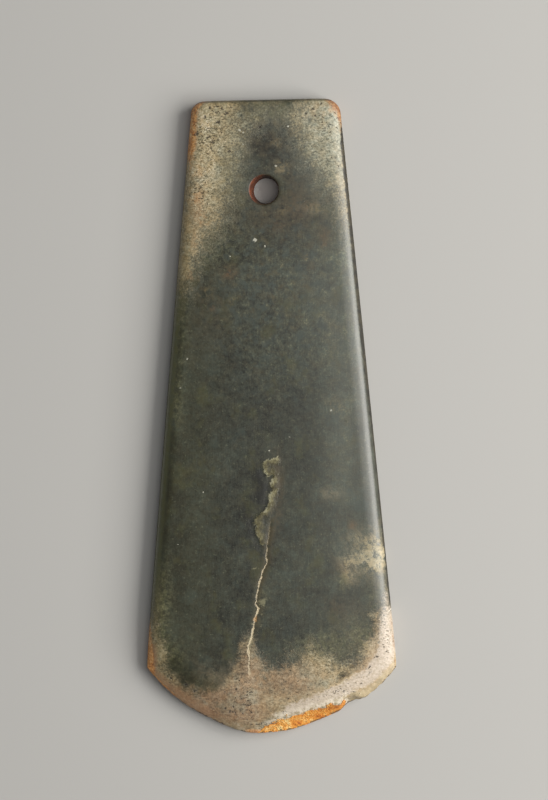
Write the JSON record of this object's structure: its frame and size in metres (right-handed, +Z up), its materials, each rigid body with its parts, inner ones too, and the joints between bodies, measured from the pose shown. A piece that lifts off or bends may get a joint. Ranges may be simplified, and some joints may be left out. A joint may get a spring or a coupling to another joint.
{
  "type": "jadeite axe head",
  "caption": "Flat tapering polished stone axe head with a squared butt, a drilled lashing hole and a curved, chipped cutting edge.",
  "frame": {"origin": "under the middle of the blade, on the surface it lies on", "axes": "+Y from the cutting edge to the butt, +Z up out of the upper face, +X to the right when the butt points away"},
  "size_m": [0.087, 0.22, 0.0088],
  "materials": {
    "jade": "polished dark green-grey stone, altered to cream at the butt and the cutting edge"
  },
  "bodies": {
    "root": {"axe_head": "jade"}
  },
  "joints": []
}
